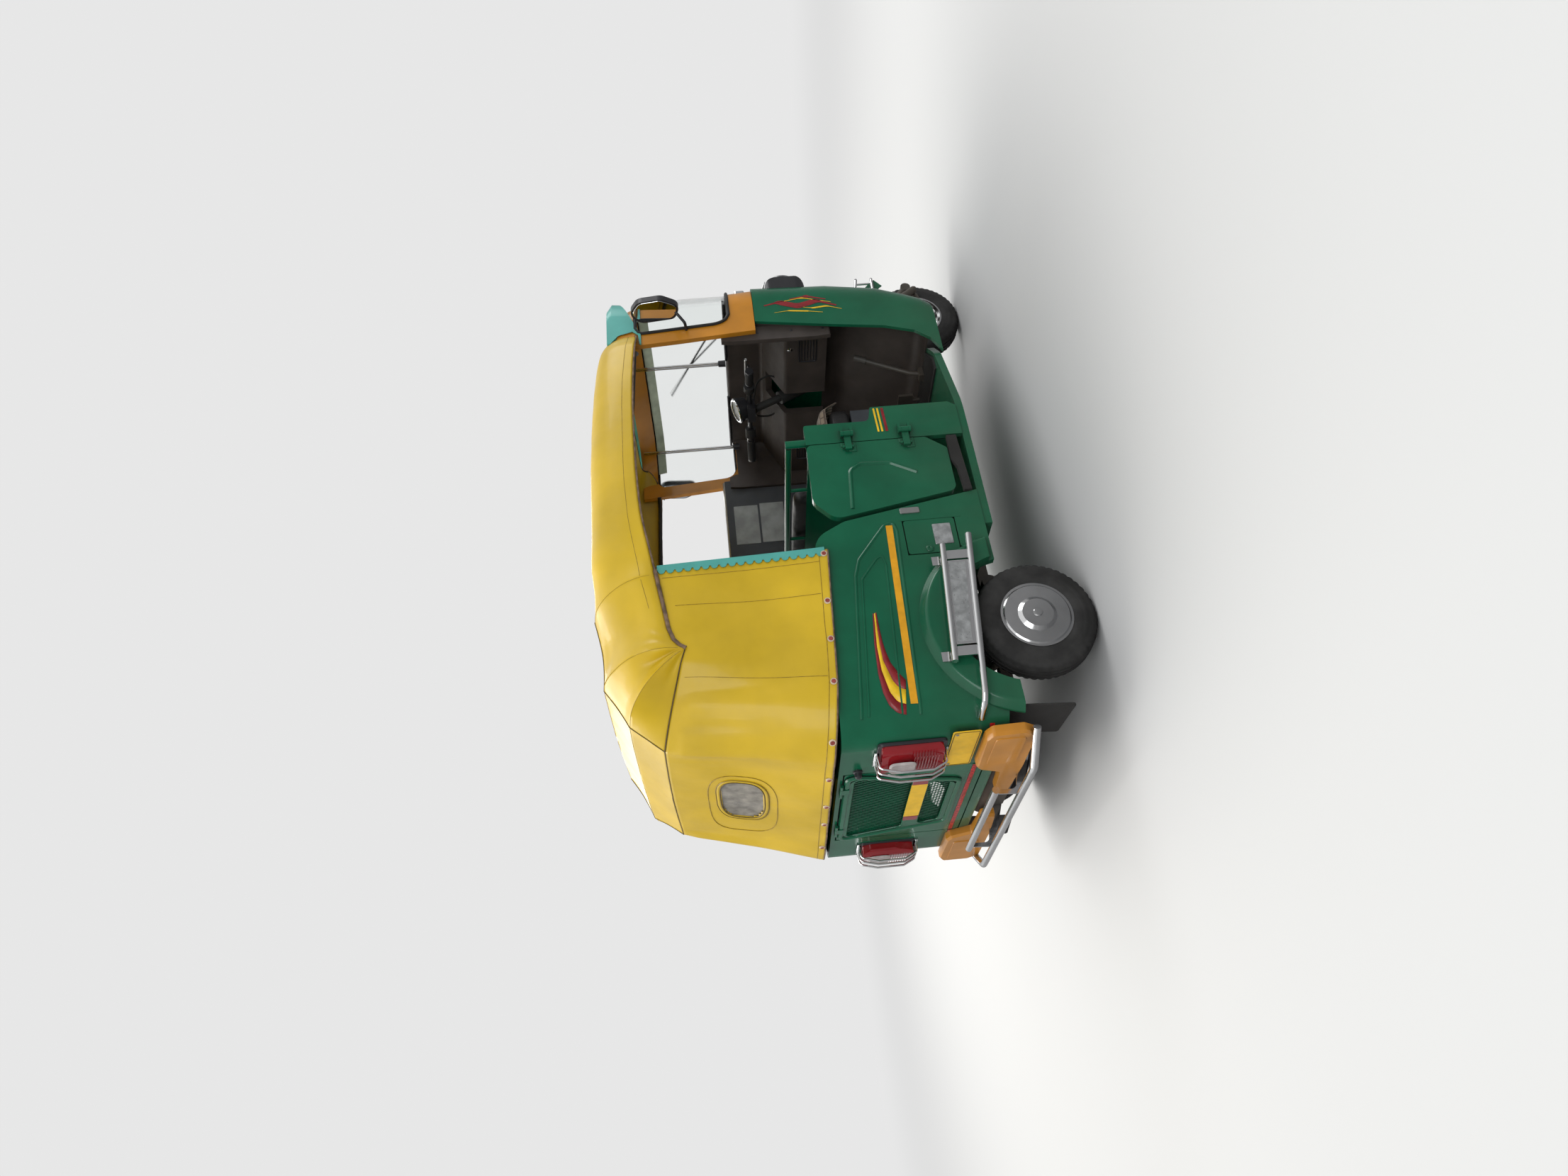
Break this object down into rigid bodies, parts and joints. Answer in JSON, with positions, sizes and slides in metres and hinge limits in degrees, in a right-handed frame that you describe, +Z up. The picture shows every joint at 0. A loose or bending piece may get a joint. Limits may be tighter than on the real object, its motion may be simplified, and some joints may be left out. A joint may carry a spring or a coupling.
{
  "type": "auto rickshaw",
  "caption": "Three-wheeled auto rickshaw with a folding-hood roof, half door, rear engine lid and chrome guard bars; it rolls and steers, and its doors and lids open.",
  "frame": {"origin": "centre of the bounding box on the ground", "axes": "+X forward, +Y to the left, +Z up"},
  "size_m": [2.742, 1.386, 1.7022],
  "materials": {
    "paint_green": "gloss",
    "paint_yellow": "gloss",
    "hood_vinyl": "satin",
    "teal_plastic": "gloss",
    "black_steel": "satin",
    "cast_metal": "matte",
    "silencer_steel": "matte",
    "chrome": "polished",
    "wheel_chrome": "polished",
    "tyre_rubber": "matte",
    "black_rubber": "matte",
    "screen_glass": "clear",
    "window_film": "gloss",
    "lamp_lens": "clear",
    "red_lens": "gloss",
    "dark_plastic": "satin",
    "brown_plastic": "matte",
    "grey_panel": "matte",
    "seat_vinyl": "satin"
  },
  "bodies": {
    "body": {"b_panel_left": "paint_green", "b_panel_right": "paint_green", "bench_backrest": "seat_vinyl", "bench_box": "paint_green", "bench_cushion": "seat_vinyl", "bumper_pads": "paint_yellow", "chassis_frame": "black_steel", "dashboard": "brown_plastic", "drive_shafts": "black_steel", "driver_backrest": "seat_vinyl", "driver_seat_box": "grey_panel", "driver_seat_cushion": "seat_vinyl", "engine_block": "cast_metal", "floor_mat": "black_rubber", "floor_pan": "paint_green", "front_apron": "paint_green", "front_cowl": "paint_yellow", "front_indicators": "chrome", "hand_controls": "black_steel", "headlamp_lenses": "lamp_lens", "headlamp_pods": "dark_plastic", "hood_frame": "black_steel", "left_side_panel": "grey_panel", "mirrors": "dark_plastic", "mudflaps": "black_rubber", "number_plate": "paint_yellow", "partition": "paint_green", "quarter_panel_left": "paint_green", "quarter_panel_right": "paint_green", "rear_curtain": "hood_vinyl", "rear_deck": "paint_green", "rear_guard_bars": "chrome", "rear_shocks": "black_steel", "rear_window": "window_film", "roof_canopy": "hood_vinyl", "side_guard_bars": "chrome", "silencer": "silencer_steel", "tail_lamp_guards": "chrome", "tail_lamps": "red_lens", "toe_board": "brown_plastic", "trailing_arms": "black_steel", "visor": "teal_plastic", "windscreen_glass": "screen_glass"},
    "steering": {"steering_fork": "black_steel", "handlebar": "chrome", "speedometer": "dark_plastic", "front_mudguard": "paint_green", "front_guard_bars": "chrome"},
    "front_wheel": {"front_tyre": "tyre_rubber", "front_rim": "wheel_chrome"},
    "rear_wheel_right": {"rear_right_tyre": "tyre_rubber", "rear_right_rim": "wheel_chrome"},
    "rear_wheel_left": {"rear_left_tyre": "tyre_rubber", "rear_left_rim": "wheel_chrome"},
    "passenger_door": {"passenger_door": "paint_green"},
    "engine_lid": {"engine_lid": "paint_green", "engine_grille": "black_steel"},
    "fuel_lid": {"fuel_lid": "paint_green"}
  },
  "joints": [
    {"name": "steer", "type": "hinge", "parent": "body", "child": "steering", "pos_m": [0.90961, 0, 0.5], "axis": [-0.4333, 0, 0.9013], "range_deg": [-38, 38]},
    {"name": "front_wheel_spin", "type": "hinge", "parent": "steering", "child": "front_wheel", "pos_m": [1.125, 0, 0.205], "axis": [0, 1, 0], "continuous": true},
    {"name": "rear_right_spin", "type": "hinge", "parent": "body", "child": "rear_wheel_right", "pos_m": [-0.875, -0.575, 0.205], "axis": [0, 1, 0], "continuous": true},
    {"name": "rear_left_spin", "type": "hinge", "parent": "body", "child": "rear_wheel_left", "pos_m": [-0.875, 0.575, 0.205], "axis": [0, 1, 0], "continuous": true},
    {"name": "door_hinge", "type": "hinge", "parent": "body", "child": "passenger_door", "pos_m": [-0.058, -0.642, 0.6], "axis": [0, 0, 1], "range_deg": [0, 95]},
    {"name": "engine_lid_hinge", "type": "hinge", "parent": "body", "child": "engine_lid", "pos_m": [-1.263, 0, 0.89], "axis": [0, 1, 0], "range_deg": [0, 80]},
    {"name": "fuel_lid_hinge", "type": "hinge", "parent": "body", "child": "fuel_lid", "pos_m": [-0.4535, -0.6215, 0.4965], "axis": [0, 0, 1], "range_deg": [0, 110]}
  ]
}
